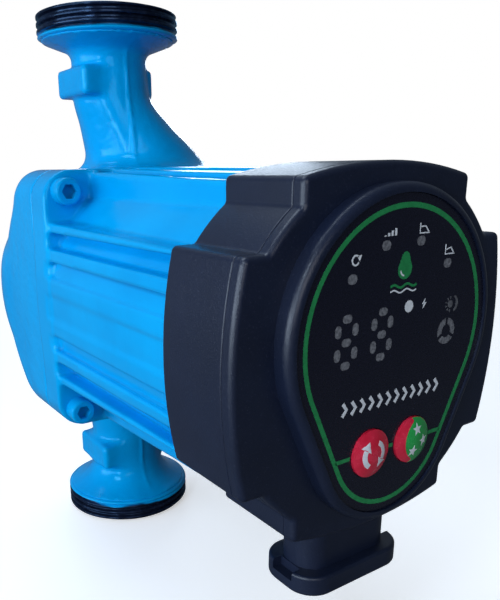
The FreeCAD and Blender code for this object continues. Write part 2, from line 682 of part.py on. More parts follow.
def mode_points():
    return [(MODE_RING_RADIUS * math.cos(math.radians(a)),
             UPPER_CENTRE_Z + MODE_RING_RADIUS * math.sin(math.radians(a))) for a in MODE_ANGLES]


def lamps(gap, y_from, y_to):
    """Mode lamps, power lamp and the wider lamp behind the three-part dial."""
    small = [rod_y(1.5 + gap, y_from, y_to, x, z) for x, z in mode_points() + [POWER_DOT]]
    return small + [rod_y(3.4 + gap, y_from, y_to, *DIAL_CENTRE)]


def status_lamps():
    return Part.makeCompound(lamps(0, DISPLAY_BOARD_FRONT, light_front()))


def oval(x, z, length, width, upright=False):
    """Flat-ended oval window as thick as the overlay."""
    y_from, y_to = PANEL_FRONT + PANEL_THICKNESS, PANEL_FRONT
    reach = (length - width) / 2
    dx, dz = (0, reach) if upright else (reach, 0)
    middle = box((x - width / 2, x + width / 2), (y_from, y_to), (z - reach, z + reach))
    if not upright:
        middle = box((x - reach, x + reach), (y_from, y_to), (z - width / 2, z + width / 2))
    ends = [rod_y(width / 2, y_from, y_to, x + s * dx, z + s * dz) for s in (-1, 1)]
    return fuse([middle] + ends)


def windows():
    shapes = [oval(x, z, 2.6, 2.0) for x, z in mode_points()]
    for x, z in DIGIT_CENTRES:
        shapes += [oval(x, z + row * SEGMENT_ROW, SEGMENT_LENGTH, SEGMENT_WIDTH)
                   for row in (-1, 0, 1)]
        shapes += [oval(x + sx * SEGMENT_COLUMN, z + sz * SEGMENT_ROW / 2,
                        SEGMENT_LENGTH, SEGMENT_WIDTH, True)
                   for sx in (-1, 1) for sz in (-1, 1)]
    shapes.append(rod_y(1.3, PANEL_FRONT + PANEL_THICKNESS, PANEL_FRONT, *POWER_DOT))
    dial = ring_y(3.0, 1.5, PANEL_FRONT + PANEL_THICKNESS, PANEL_FRONT)
    slot = box((-0.35, 0.35), (PANEL_FRONT + 1, PANEL_FRONT - 1), (0, 5))
    dial = dial.cut([around_y(slot, turn) for turn in (0, 120, 240)])
    dial.translate(V(DIAL_CENTRE[0], 0, DIAL_CENTRE[1]))
    return shapes + [dial]


def control_box_cover():
    plate = rounded_lobed_prism(BOX_SPLIT, BOX_FRONT)
    plate = plate.makeFillet(COVER_EDGE_RADIUS, edges_in_plane_y(plate, BOX_FRONT))
    plate = plate.makeFillet(SEAM_RADIUS, edges_in_plane_y(plate, BOX_SPLIT))
    frame = teardrop(RIM_OUTER_OFFSET, BOX_FRONT + 1, RIM_FRONT)
    frame = frame.makeFillet(1.8, edges_in_plane_y(frame, RIM_FRONT))
    body = fuse([plate, frame])
    pocket_floor = PANEL_FRONT + PANEL_THICKNESS
    hollow = [lobed_prism(shrunk(BOX_SECTION, BOX_WALL), BOX_SPLIT, BOX_FRONT + BOX_WALL),
              teardrop(PANEL_CAVITY_OFFSET, BOX_SPLIT, pocket_floor + BOX_WALL),
              teardrop(RIM_INNER_OFFSET, pocket_floor, RIM_FRONT)]
    hollow += lamps(0.25, BOX_SPLIT, pocket_floor)
    hollow += [digit_block(centre, 0.25, BOX_SPLIT, pocket_floor) for centre in DIGIT_CENTRES]
    hollow += [rod_y(BUTTON_RADIUS + BUTTON_GAP, BOX_SPLIT, pocket_floor, s * BUTTON_X, BUTTON_Z)
               for s in (-1, 1)]
    body = body.cut(hollow)
    register = lobed_ring(BOX_WALL + 0.15, BOX_WALL + 1.5, BOX_SPLIT + 2.5, BOX_FRONT + BOX_WALL)
    return fuse([body, register])


def cover_seal():
    return lobed_ring(0.8, 1.8, BOX_SPLIT, BOX_SPLIT + 0.8)


def panel_overlay():
    sheet = teardrop(OVERLAY_OFFSET, PANEL_FRONT + PANEL_THICKNESS, PANEL_FRONT)
    holes = [rod_y(BUTTON_RADIUS + BUTTON_GAP, PANEL_FRONT + 1, PANEL_FRONT - 1,
                   s * BUTTON_X, BUTTON_Z) for s in (-1, 1)]
    return sheet.cut(holes + windows())


def indicator_windows():
    return Part.makeCompound(windows())


def button(side):
    """Domed key with a collar behind the cover that keeps it in."""
    x = side * BUTTON_X
    rim_y, crown_y = PANEL_FRONT - 0.5, PANEL_FRONT - 1.7
    collar_front = PANEL_FRONT + PANEL_THICKNESS + BOX_WALL + 0.05
    back = -127.0
    rise = rim_y - crown_y
    dome_radius = (BUTTON_RADIUS ** 2 + rise ** 2) / (2 * rise)
    dome = Part.makeSphere(dome_radius, V(x, crown_y + dome_radius, BUTTON_Z))
    stem = rod_y(BUTTON_RADIUS, back, crown_y - 1, x, BUTTON_Z)
    collar = rod_y(BUTTON_RADIUS + 0.9, back, collar_front, x, BUTTON_Z)
    return fuse([stem.common(dome), collar])


def plunger(side):
    return rod_y(1.6, -127.0, -124.6, side * BUTTON_X, BUTTON_Z)


def button_switches():
    bodies = []
    for side in (-1, 1):
        x = side * BUTTON_X
        body = box((x - 3, x + 3), (DISPLAY_BOARD_FRONT, -125.8), (BUTTON_Z - 3, BUTTON_Z + 3))
        bodies.append(body.cut(rod_y(1.65, DISPLAY_BOARD_FRONT - 0.6, -125.8, x, BUTTON_Z)))
    return Part.makeCompound(bodies)


def export(name, shape):
    placed = shape.copy()
    placed.translate(V(0, 0, AXIS_HEIGHT))
    placed.exportStep(os.path.join("parts", name + ".step"))
    state = "ok" if placed.isValid() else "NOT VALID"
    print(f"{name:22s} solids {len(placed.Solids):2d}  volume {placed.Volume:10.1f}  {state}")


NODES = {
    "pump_housing": pump_housing,
    "neck_ring": neck_ring,
    "motor_housing": motor_housing,
    "housing_screws": housing_screws,
    "housing_gasket": housing_gasket,
    "impeller": impeller,
    "impeller_shroud": impeller_shroud,
    "shaft": shaft,
    "rotor_magnet": rotor_magnet,
    "rotor_sleeve": rotor_sleeve,
    "rotor_end_rings": rotor_end_rings,
    "thrust_ring": thrust_ring,
    "bearing_plate": bearing_plate,
    "front_bearing": front_bearing,
    "rotor_can": rotor_can,
    "can_gasket": can_gasket,
    "rear_bearing": rear_bearing,
    "rear_bearing_holder": rear_bearing_holder,
    "stator_core": stator_core,
    "stator_bobbins": stator_bobbins,
    "stator_coils": stator_coils,
    "motor_leads": motor_leads,
    "box_gasket": box_gasket,
    "box_screws": box_screws,
    "control_box_base": control_box_base,
    "power_socket": power_socket,
    "socket_pins": socket_pins,
    "power_board": power_board,
    "board_screws": board_screws,
    "power_capacitors": power_capacitors,
    "suppression_choke": suppression_choke,
    "power_module": power_module,
    "motor_connector": motor_connector,
    "board_link": board_link,
    "display_board": display_board,
    "digit_modules": digit_modules,
    "status_lamps": status_lamps,
    "button_switches": button_switches,
    "control_box_cover": control_box_cover,
    "cover_seal": cover_seal,
    "panel_overlay": panel_overlay,
    "indicator_windows": indicator_windows,
    "speed_button": lambda: button(-1),
    "speed_plunger": lambda: plunger(-1),
    "night_button": lambda: button(1),
    "night_plunger": lambda: plunger(1),
}

os.makedirs("parts", exist_ok=True)
for node_name, make in NODES.items():
    export(node_name, make())
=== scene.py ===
import math

import bmesh
import bpy
import numpy as np
from mathutils import Matrix, Vector


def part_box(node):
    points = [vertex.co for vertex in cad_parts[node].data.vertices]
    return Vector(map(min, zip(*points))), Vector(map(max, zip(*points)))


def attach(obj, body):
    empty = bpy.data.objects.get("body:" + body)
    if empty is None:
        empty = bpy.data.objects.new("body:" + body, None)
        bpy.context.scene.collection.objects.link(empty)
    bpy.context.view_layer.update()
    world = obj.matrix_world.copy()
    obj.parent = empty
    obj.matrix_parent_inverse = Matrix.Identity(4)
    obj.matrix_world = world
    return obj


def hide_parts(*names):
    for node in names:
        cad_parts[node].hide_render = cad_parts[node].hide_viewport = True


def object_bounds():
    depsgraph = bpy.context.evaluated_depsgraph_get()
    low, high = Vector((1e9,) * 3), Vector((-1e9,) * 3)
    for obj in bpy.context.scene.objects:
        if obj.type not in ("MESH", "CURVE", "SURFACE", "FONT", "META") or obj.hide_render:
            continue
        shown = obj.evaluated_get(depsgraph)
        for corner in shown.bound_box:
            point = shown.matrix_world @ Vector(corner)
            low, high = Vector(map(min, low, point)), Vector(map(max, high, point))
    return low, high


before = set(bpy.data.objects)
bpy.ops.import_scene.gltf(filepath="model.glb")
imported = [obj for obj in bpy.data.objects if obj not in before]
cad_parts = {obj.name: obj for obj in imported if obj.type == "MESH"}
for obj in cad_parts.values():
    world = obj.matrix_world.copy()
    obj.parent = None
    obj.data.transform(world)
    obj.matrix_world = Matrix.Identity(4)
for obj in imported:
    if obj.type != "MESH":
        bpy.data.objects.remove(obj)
cad_low, cad_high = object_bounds()

# Shapes are worked out in millimetres from the motor axis: it lies along Y at z = 0, the
# ports lie on the Z axis and the panel faces -Y.  placed() turns that into the frame.
MM = 0.001
BODY = "casing"
HALF_LENGTH = (cad_high.z - cad_low.z) / 2 / MM


def node_box(node):
    """Lowest and highest corner of a CAD node, in millimetres from the motor axis."""
    low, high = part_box(node)
    return [(corner.x / MM, corner.y / MM, corner.z / MM - HALF_LENGTH) for corner in (low, high)]


JOINT_Y = node_box("pump_housing")[0][1]
MOTOR_FRONT = node_box("motor_housing")[0][1]
PANEL_Y = node_box("panel_overlay")[0][1]
BUTTON_CROWN_Y = node_box("speed_button")[0][1]
THREAD_MAJOR, THREAD_PITCH, THREAD_DEPTH = 23.9, 2.309, 1.3     # the first is a radius
COLLAR_LENGTH, COLLAR_RADIUS = 8.0, 22.9
COLLAR_LOW = HALF_LENGTH - COLLAR_LENGTH
PORT_BORE = 14.0
CASTING_BACK, CASTING_HALF_WIDTH, DRUM_RADIUS = 22.0, 41.0, 38.0
DOME_CENTRE_Z = -6.0
DOME_FALL_ACROSS, DOME_FALL_UP, DOME_FALL_DOWN = 0.0026, 0.0142, 0.022
UPPER_LUG, LOWER_LUG = 68.5, 66.8      # height of each spanner lug's middle from the motor axis
SCREW_OFFSET = 34.05                   # of the four housing screws, along x and along z
FLANGE_HALF, FLANGE_CORNER = 40.2, 9.0
FLANGE_BACK = -3.0
UPPER_CENTRE_Z, UPPER_RADIUS = 6.0, 26.6
LOWER_CENTRE_Z, LOWER_RADIUS = -15.6, 17.4
BUTTON_X, BUTTON_Z, BUTTON_RADIUS = 6.7, -19.9, 5.5


# --- placing and making meshes ---------------------------------------------------------------

def placed(points):
    """Points of the frame, in metres, from points round the motor axis."""
    points = np.asarray(points, float) * MM
    points[:, 2] += HALF_LENGTH * MM
    return points


def new_piece(name, points, faces, material, body=BODY, flat=False):
    """A cleaned mesh object that rides on a body and fills a slot."""
    mesh = bpy.data.meshes.new(name)
    mesh.from_pydata(placed(points).tolist(), [], faces)
    cleaned = bmesh.new()
    cleaned.from_mesh(mesh)
    bmesh.ops.remove_doubles(cleaned, verts=cleaned.verts, dist=1e-7)
    bmesh.ops.dissolve_degenerate(cleaned, edges=cleaned.edges, dist=1e-7)
    cleaned.to_mesh(mesh)
    cleaned.free()
    mesh.polygons.foreach_set("use_smooth", [not flat] * len(mesh.polygons))
    piece = bpy.data.objects.new(name, mesh)
    bpy.context.scene.collection.objects.link(piece)
    mesh.materials.append(material)
    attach(piece, body)
    return piece


# --- skins of cast parts: the surface where a distance field is zero -------------------------

def smooth_min(a, b, reach):
    share = np.clip(0.5 + 0.5 * (b - a) / reach, 0, 1)
    return b + (a - b) * share - reach * share * (1 - share)


def smooth_max(a, b, reach):
    return -smooth_min(-a, -b, reach)


def rounded_rectangle(u, v, half_u, half_v, radius):
    du, dv = np.abs(u) - half_u + radius, np.abs(v) - half_v + radius
    outside = np.hypot(np.maximum(du, 0), np.maximum(dv, 0))
    return outside + np.minimum(np.maximum(du, dv), 0) - radius


def cylinder_y(x, y, z, radius, y_low, y_high, edge):
    return rounded_rectangle(np.hypot(x, z), y - (y_low + y_high) / 2,
                             radius, (y_high - y_low) / 2, edge)


def capsule(x, y, z, start, end, radius):
    """Distance to a straight round bar between two points."""
    start, end = np.array(start, float), np.array(end, float)
    run = end - start
    along = ((x - start[0]) * run[0] + (y - start[1]) * run[1] + (z - start[2]) * run[2])
    along = np.clip(along / run.dot(run), 0, 1)
    return np.sqrt((x - start[0] - along * run[0]) ** 2 + (y - start[1] - along * run[1]) ** 2
                   + (z - start[2] - along * run[2]) ** 2) - radius


def through(points, at):
    """Smooth curve through (position, value) pairs, read at many positions."""
    where, value = np.array(points, float).T
    slope = np.gradient(value, where)
    i = np.clip(np.searchsorted(where, at) - 1, 0, len(where) - 2)
    span = where[i + 1] - where[i]
    t = np.clip((at - where[i]) / span, 0, 1)
    return (value[i] * (1 + 2 * t) * (1 - t) ** 2 + value[i + 1] * t * t * (3 - 2 * t)
            + span * (slope[i] * t * (1 - t) ** 2 - slope[i + 1] * t * t * (1 - t)))


def skin(field, low, high, step):
    """Points and quads of the zero surface of a field, by surface nets, then drawn onto it."""
    axes = [np.arange(a, b + step, step) for a, b in zip(low, high)]
    value = field(*np.meshgrid(*axes, indexing="ij", sparse=True))
    cells, crossings, quads = [], [], []
    for axis in range(3):
        near, far = [slice(None)] * 3, [slice(None)] * 3
        near[axis], far[axis] = slice(0, -1), slice(1, None)
        a, b = value[tuple(near)], value[tuple(far)]
        edge = np.argwhere((a < 0) != (b < 0))
        a, b = a[tuple(edge.T)], b[tuple(edge.T)]
        crossing = edge.astype(float)
        crossing[:, axis] += a / (a - b)
        ring = []
        for du, dv in ((0, 0), (1, 0), (1, 1), (0, 1)):
            cell = edge.copy()
            cell[:, (axis + 1) % 3] -= du
            cell[:, (axis + 2) % 3] -= dv
            ring.append(np.ravel_multi_index(cell.T, value.shape))
            crossings.append(crossing)
        cells += ring
        quad = np.stack(ring, 1)
        quad[a > 0] = quad[a > 0][:, ::-1]
        quads.append(quad)
    ids, owner = np.unique(np.concatenate(cells), return_inverse=True)
    crossings = np.concatenate(crossings)
    count = np.bincount(owner)
    points = np.stack([np.bincount(owner, crossings[:, k]) / count for k in range(3)], 1)
    points = points * step + np.array(low)
    nudge = 0.05
    for _ in range(3):
        here = field(*points.T)
        slope = np.stack([(field(*(points + nudge * np.eye(3)[k]).T) - here) / nudge
                          for k in range(3)], 1)
        move = -here[:, None] * slope / np.maximum((slope ** 2).sum(1), 0.05)[:, None]
        points += np.clip(move, -0.35 * step, 0.35 * step)
    return points, np.searchsorted(ids, np.concatenate(quads)).tolist()


# --- pump casting ----------------------------------------------------------------------------

UPPER_NECK = {"radius": ((0, 14), (20, 19), (46, 20), (55, 16.1), (63, 13.6), (70, 13), (90, 13)),
              "x": ((0, 13), (20, 13), (46, 11.3), (55, 5.3), (63, 0.6), (70, 0), (90, 0)),
              "y": ((0, 0), (46, 0.5), (55, 0), (90, 0))}
LOWER_NECK = {"radius": ((0, 14), (24, 18), (46, 15.5), (55, 13.6), (66, 13), (90, 13)),
              "x": ((0, 0), (90, 0)), "y": ((0, 2), (24, 2.5), (46, 1), (60, 0), (90, 0))}


def neck_field(x, y, height, neck, foot):
    """Neck of changing radius and centre, from the height of its foot up to a port."""
    across = np.hypot(x - through(neck["x"], height), y - through(neck["y"], height))
    return smooth_max((across - through(neck["radius"], height)) * 0.9, foot - height, 6.0)


def collar_field(x, y, height):
    """Flare behind a threaded collar, and the collar's root."""
    across = np.hypot(x, y)
    slope = 2.7
    flare = ((across - COLLAR_RADIUS) - slope * (height - 81.7)) / math.hypot(1, slope)
    disc = smooth_max(across - COLLAR_RADIUS, flare, 0.8)
    return np.maximum(disc, height - COLLAR_LOW - 0.3)


def lug_field(x, y, height, middle):
    """Spanner lug on one side of a neck and the flat pad opposite it."""
    block = rounded_rectangle(x + 7.5, y, 7.5, 11.5, 1.7)
    pad = rounded_rectangle(x - 6.7, y, 6.7, 7.0, 1.7)
    return smooth_max(np.minimum(block, pad), np.abs(height - middle) - 4.6, 1.7)


def scroll_field(x, y, z):
    """Spiral round the impeller, which grows anticlockwise towards the outlet."""
    turn = (np.degrees(np.arctan2(z, x)) - 120) % 360
    grown = np.where(turn < 300, turn / 300, (360 - turn) / 60)
    tube = 10.2 + 2.0 * grown
    return np.hypot(np.hypot(x, z) - (40.6 - tube), y - (CASTING_BACK - 0.3 - tube)) - tube


def pump_casting_field(x, y, z):
    """Flange, scroll, inlet, necks with collars' roots and lugs, and the waterway cut out."""
    square = rounded_rectangle(x, z, FLANGE_HALF, FLANGE_HALF, FLANGE_CORNER)
    rise = z - DOME_CENTRE_Z
    fall = np.where(rise > 0, DOME_FALL_UP, DOME_FALL_DOWN)
    dome = CASTING_BACK - 1.5 - DOME_FALL_ACROSS * x ** 2 - fall * rise ** 2
    flange = smooth_max(square, 0.8 * (y - smooth_max(dome, FLANGE_BACK, 6.0)), 7.0)
    drum = cylinder_y(x, y, z, DRUM_RADIUS, JOINT_Y + 2, CASTING_BACK - 0.7, 8.0)
    body = smooth_min(flange, smooth_min(drum, scroll_field(x, y, z), 2.0), 4.0)
    inlet = capsule(x, y, z, (0, 7.5, -40), (0, 7.5, 0), 14.0)
    body = smooth_min(body, inlet, 5.0)
    necks = np.minimum(neck_field(x, y, z, UPPER_NECK, 8), neck_field(x, y, -z, LOWER_NECK, 12))
    seam = 0.4 * np.exp(-(x / 0.7) ** 2) * np.clip((np.abs(z) - 40) / 6, 0, 1)
    upper = smooth_min(necks - seam, collar_field(x, y, z), 2.6)
    upper = smooth_min(upper, lug_field(x, y, z, UPPER_LUG), 1.2)
    lower = smooth_min(necks - seam, collar_field(x, y, -z), 9.0)
    lower = smooth_min(lower, lug_field(x, y, -z, LOWER_LUG), 3.0)
    necks = np.maximum(np.where(z > 0, upper, lower), np.abs(z) - COLLAR_LOW - 0.3)
    body = smooth_min(body, necks, 7.0)
    body = smooth_max(body, np.abs(x) - CASTING_HALF_WIDTH, 1.5)
    body = smooth_max(body, y - CASTING_BACK - 0.6, 1.5)
    return smooth_max(smooth_max(body, JOINT_Y - y, 0.8), -waterway_field(x, y, z), 0.6)


def waterway_field(x, y, z):
    """Everything hollow in the casting: mouths, passages, impeller chamber and screw holes."""
    height = np.abs(z)
    across = np.hypot(x, y)
    mouth = np.maximum(across - through(((60, 9.5), (78, 9.5), (82, 14), (90, 14)), height),
                       60 - height)
    outlet = capsule(x, y, z, (0, 0, 62), (12.4, -11.6, 28), 9.0)
    inlet = capsule(x, y, z, (0, 0, -60), (0, 6, -16), 9.5)
    chamber = cylinder_y(x, y, z, 30.0, JOINT_Y - 5, -12.5, 0.5)
    eye = cylinder_y(x, y, z, 10.6, -14.0, -5.0, 0.2)
    back = cylinder_y(x, y, z, 19.0, -6.0, 13.0, 2.0)
    holes = cylinder_y(np.abs(x) - SCREW_OFFSET, y, np.abs(z) - SCREW_OFFSET, 2.5,
                       JOINT_Y - 1, -15.0, 0.2)
    field = np.minimum(np.minimum(mouth, outlet), np.minimum(inlet, chamber))
    return np.minimum(np.minimum(field, eye), np.minimum(back, holes))


def pump_casting(material):
    reach, top = FLANGE_HALF + 2, 84
    points, quads = skin(pump_casting_field, (-reach, JOINT_Y - 1.5, -top),
                         (reach, CASTING_BACK + 2.2, top), 0.8)
    piece = new_piece("pump_casting", points, quads, material)
    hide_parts("pump_housing")
    return piece


# --- threaded collars ------------------------------------------------------------------------

def thread_profile(turns):
    """Depth of a pipe thread with rounded crests and roots, from 0 at a crest to 1 at a root."""
    return 0.5 - 0.5 * np.cos(2 * math.pi * (turns - 0.10 * np.sin(4 * math.pi * turns)))


def threaded_collar(name, side, material):
    """Ring with an outside thread at the upper (side 1) or lower (side -1) port."""
    around, low, top = 200, COLLAR_LOW, HALF_LENGTH
    heights = np.arange(low + 0.5, top - 0.39, THREAD_PITCH / 14)
    profile = [(PORT_BORE, low - 0.2), (22.0, low - 0.2), (COLLAR_RADIUS, low + 0.1)]
    profile += [(None, height) for height in heights]
    profile += [(22.3, top - 0.12), (22.0, top), (PORT_BORE + 0.6, top), (PORT_BORE, top - 0.6)]
    points, faces = [], []
    for k in range(around):
        angle = 2 * math.pi * k / around
        for radius, height in profile:
            if radius is None:
                turns = height / THREAD_PITCH - side * k / around
                fade = min(1.0, (height - low - 0.3) / 1.2, (top - height + 0.2) / 1.0)
                crest = THREAD_MAJOR - 0.02 - 0.9 * (1 - min(1, (top - height) / 0.9)) ** 1.5
                radius = crest - THREAD_DEPTH * max(fade, 0.15) * thread_profile(turns)
            points.append((radius * math.cos(angle), radius * math.sin(angle), side * height))
    rows = len(profile)
    for k in range(around):
        after = (k + 1) % around
        for j in range(rows):
            face = [k * rows + j, after * rows + j, after * rows + (j + 1) % rows,
                    k * rows + (j + 1) % rows]
            faces.append(face if side > 0 else face[::-1])
    return new_piece(name, points, faces, material)


# --- motor housing ---------------------------------------------------------------------------

RIB_GROOVES = ((0.0, 4.0), (11.3, 2.5), (19.85, 2.45))     # middle and half width
# Half width of a ribbed side, its height at the corners and at the crown, radius of the core.
MOTOR_BACK_SECTION = (25.2, 39.4, 40.8, 40.4)
MOTOR_FRONT_SECTION = (23.6, 37.3, 40.3, 39.9)


def motor_field(x, y, z):
    """Four ribbed sides round a core, tapering to the front, with the flange; hollow inside."""
    share = (JOINT_Y - y) / (JOINT_Y - MOTOR_FRONT)
    half, corner, crown, core = [a + (b - a) * share
                                 for a, b in zip(MOTOR_BACK_SECTION, MOTOR_FRONT_SECTION)]
    rise = crown - corner
    crown_radius = (half ** 2 + rise ** 2) / (2 * rise)
    body = np.hypot(x, z) - core
    for out, aside in ((np.abs(x), z), (np.abs(z), x)):
        aside = np.abs(aside)
        round_top = np.hypot(out - crown + crown_radius, aside) - crown_radius
        lobe = smooth_max(aside - half, round_top, 1.0)
        lobe = np.maximum(lobe, 20 - out)
        ramp = (y + 32.0 - (out - 41.5) * 0.545) / 1.139
        for middle, width in RIB_GROOVES:
            groove = smooth_max(np.abs(aside - middle) - width, ramp, 0.8)
            lobe = smooth_max(lobe, -groove, 0.7)
        body = smooth_min(body, lobe, 0.9)
    square = rounded_rectangle(x, z, FLANGE_HALF, FLANGE_HALF, FLANGE_CORNER)
    flange = smooth_max(square, -35.0 - y, 1.0)
    body = smooth_min(body, flange, 1.6)
    body = smooth_max(smooth_max(body, y - JOINT_Y, 0.8), MOTOR_FRONT - y, 0.8)
    recess = cylinder_y(x, y, z, 37.0, -29.3, -20, 0.2)
    seat = cylinder_y(x, y, z, 34.5, -99.0, -20, 0.5)
    holes = cylinder_y(np.abs(x) - SCREW_OFFSET, y, np.abs(z) - SCREW_OFFSET, 2.75,
                       -40.0, -20, 0.2)
    window = np.maximum(rounded_rectangle(x, z - 22, 7, 4, 2), y + 98)
    hollow = np.minimum(np.minimum(recess, seat), np.minimum(holes, window))
    return smooth_max(body, -hollow, 0.5)


def motor_shell(material):
    reach = 42.5
    points, quads = skin(motor_field, (-reach, MOTOR_FRONT - 1.5, -reach),
                         (reach, JOINT_Y + 1.5, reach), 0.85)
    piece = new_piece("motor_shell", points, quads, material)
    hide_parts("motor_housing")
    return piece


# --- prints: thin raised patches on the panel and on the buttons -----------------------------

PRINT_SINK = 0.02          # how far a print reaches behind the face it lies on


def flat_panel(x, z):
    """Height of the panel's face, the same all over."""
    return np.full_like(x, PANEL_Y)


def button_dome(side):
    """Height of a button's domed face."""
    rise = 1.2
    radius = (BUTTON_RADIUS ** 2 + rise ** 2) / (2 * rise)

    def face(x, z):
        out = (x - side * BUTTON_X) ** 2 + (z - BUTTON_Z) ** 2
        return BUTTON_CROWN_Y + radius - np.sqrt(radius ** 2 - out)
    return face


def print_on(name, patches, material, body=BODY, face=flat_panel,
             lift=0.05):
    """One closed thin piece from patches: grids of (x, z) points, each with whether its rows
    close into a ring.  It stands lift in front of the face.
    """
    points, faces = [], []
    for grid, closed in patches:
        grid = np.asarray(grid, float)
        n, m = grid.shape[:2]
        x, z = grid[..., 0].ravel(), grid[..., 1].ravel()
        start = len(points)
        y = face(x, z)
        points += np.stack([x, y - lift, z], 1).tolist()
        points += np.stack([x, y + PRINT_SINK, z], 1).tolist()
        below = n * m

        def at(i, j, layer=0):
            return start + (i % n) * m + j + layer * below

        for i in range(n if closed else n - 1):
            for j in range(m - 1):
                front = [at(i, j), at(i + 1, j), at(i + 1, j + 1), at(i, j + 1)]
                faces += [front, [c + below for c in front[::-1]]]
            for j, step in ((0, 1), (m - 1, -1)):
                wall = [at(i, j), at(i, j, 1), at(i + 1, j, 1), at(i + 1, j)]
                faces.append(wall[::step])
        if not closed:
            for i, step in ((0, -1), (n - 1, 1)):
                for j in range(m - 1):
                    wall = [at(i, j), at(i, j, 1), at(i, j + 1, 1), at(i, j + 1)]
                    faces.append(wall[::step])
    piece = new_piece(name, points, faces, material, body, flat=True)
    solid = bmesh.new()
    solid.from_mesh(piece.data)
    bmesh.ops.recalc_face_normals(solid, faces=solid.faces)
    solid.to_mesh(piece.data)
    solid.free()
    return piece


def strip(points, width, rows=2, closed=False):
    """Band of even width along a line of (x, z) points."""
    points = np.asarray(points, float)
    ahead = np.gradient(points, axis=0)
    if closed:
        ahead = np.roll(points, -1, 0) - np.roll(points, 1, 0)
    side = np.stack([-ahead[:, 1], ahead[:, 0]], 1) / np.hypot(*ahead.T)[:, None]
    across = np.linspace(-width / 2, width / 2, rows)
    return points[:, None] + side[:, None] * across[None, :, None], closed


def arc(centre, radius, start, end, count=24):
    """Points of a circle's arc between two angles in degrees."""
    angle = np.radians(np.linspace(start, end, count))
    return np.stack([centre[0] + radius * np.cos(angle), centre[1] + radius * np.sin(angle)], 1)


def filled(centre, edge, rings):
    """Rings of points from a centre out to an edge, given relative to the centre."""
    share = np.linspace(0, 1, rings + 1)
    return np.asarray(centre) + edge[:, None] * share[None, :, None], True


def blob(centre, radii):
    """Filled outline given by its radius at even angles round a centre."""
    angle = np.linspace(0, 2 * math.pi, len(radii), endpoint=False)
    edge = np.stack([np.cos(angle), np.sin(angle)], 1) * np.asarray(radii, float)[:, None]
    return filled(centre, edge, 3)


def fan(outline, rings=2):
    """Filled outline of (x, z) points round their middle."""
    outline = np.asarray(outline, float)
    middle = outline.mean(0)
    return filled(middle, outline - middle, rings)


def star(centre, size, turn):
    """Five-pointed star, turned by an angle in degrees."""
    radii = [size if k % 2 == 0 else size * 0.42 for k in range(10)]
    angle = np.radians(np.arange(10) * 36 + turn)
    return filled(centre, np.stack([np.cos(angle), np.sin(angle)], 1) * np.array(radii)[:, None], 2)


def teardrop_line(offset, count=60):
    """Outline of the panel: two circles and their tangents."""
    upper, lower = UPPER_RADIUS + offset, LOWER_RADIUS + offset
    slope = (UPPER_RADIUS - LOWER_RADIUS) / (UPPER_CENTRE_Z - LOWER_CENTRE_Z)
    lean = math.degrees(math.asin(slope))
    top = arc((0, UPPER_CENTRE_Z), upper, -lean, 180 + lean, count)
    bottom = arc((0, LOWER_CENTRE_Z), lower, 180 + lean, 360 - lean, count)
    return np.concatenate([top, bottom])


def panel_prints(green, white, grey):
    """Outline, the bars that link the buttons, and every sign on the panel."""
    print_on("outline_print", [strip(teardrop_line(0), 1.1, closed=True)], green)
    bar_z, edge = -19.8, BUTTON_RADIUS + 0.5
    left, right = -BUTTON_X - edge, BUTTON_X + edge
    reach = math.sqrt(LOWER_RADIUS ** 2 - (bar_z - LOWER_CENTRE_Z) ** 2)
    spans = ((-reach, left), (-BUTTON_X + edge, BUTTON_X - edge), (right, reach))
    print_on("link_bars", [strip([(a, bar_z), (b, bar_z)], 0.9) for a, b in spans], green)
    mode_icons(white)
    emblem(green, white)
    flow_marks(white)
    night_icon(grey)
    power_dot(white)


def mode_icons(white):
    """Small signs over the mode lamps and by the power lamp, in place of words."""
    x, z = -14.3, 22.6                                     # automatic: a closed loop
    loop = strip(arc((x, z), 0.95, 40, 330), 0.36)
    head = fan([(x + 0.35, z + 0.75), (x + 1.6, z + 1.0), (x + 1.1, z - 0.3)])
    print_on("auto_icon", [loop, head], white)
    x, z = -5.3, 27.4                                      # fixed speed: rising bars
    bars = [strip([(x + k, z - 0.75), (x + k, z - 0.1 + k * 0.42)], 0.55) for k in (-1, 0, 1, 2)]
    print_on("speed_icon", bars, white)
    level = ((-1.5, 0.45), (0.2, 0.45), (1.4, -0.9))       # pressure over flow, in two axes
    rising = ((-1.5, 0.0), (0.3, 0.45), (1.4, -0.9))
    for name, x, z, curve in (("constant_icon", 5.6, 27.6, level),
                              ("proportional_icon", 14.5, 22.6, rising)):
        axes = strip([(x - 1.5, z + 1.2), (x - 1.5, z - 0.9), (x + 1.6, z - 0.9)], 0.3)
        line = strip([(x + dx, z + dz) for dx, dz in curve], 0.3)
        print_on(name, [axes, line], white)
    x, z = 7.4, 11.6                                       # power: a bolt
    upper = fan([(x + 0.35, z + 1.15), (x - 0.75, z - 0.15), (x, z - 0.1)], 1)
    lower = fan([(x - 0.35, z - 1.15), (x + 0.75, z + 0.15), (x, z + 0.1)], 1)
    print_on("power_icon", [upper, lower], white)


def emblem(green, white):
    """A plain drop over two waves."""
    x, z = 0.3, 19.6
    angle = np.linspace(0, 2 * math.pi, 40, endpoint=False)
    lean = np.clip(np.sin(angle), 0, 1)
    radii = 2.1 * (1 + 0.75 * lean ** 7)
    print_on("drop_emblem", [blob((x, z), radii)], green)
    glint = strip(arc((x, z), 1.35, 190, 262, 14), 0.36)
    print_on("drop_glint", [glint], white, lift=0.08)
    along = np.linspace(-4.0, 4.0, 40)
    for name, below, material, width in (("wave_upper", 3.4, green, 0.5),
                                         ("wave_lower", 4.5, white, 0.32)):
        wave = np.stack([x + along, z - below + 0.32 * np.sin(along * 1.55)], 1)
        print_on(name, [strip(wave, width)], material)


def power_dot(white):
    print_on("power_dot", [blob((2.5, 11.5), np.full(32, 1.3))], white)


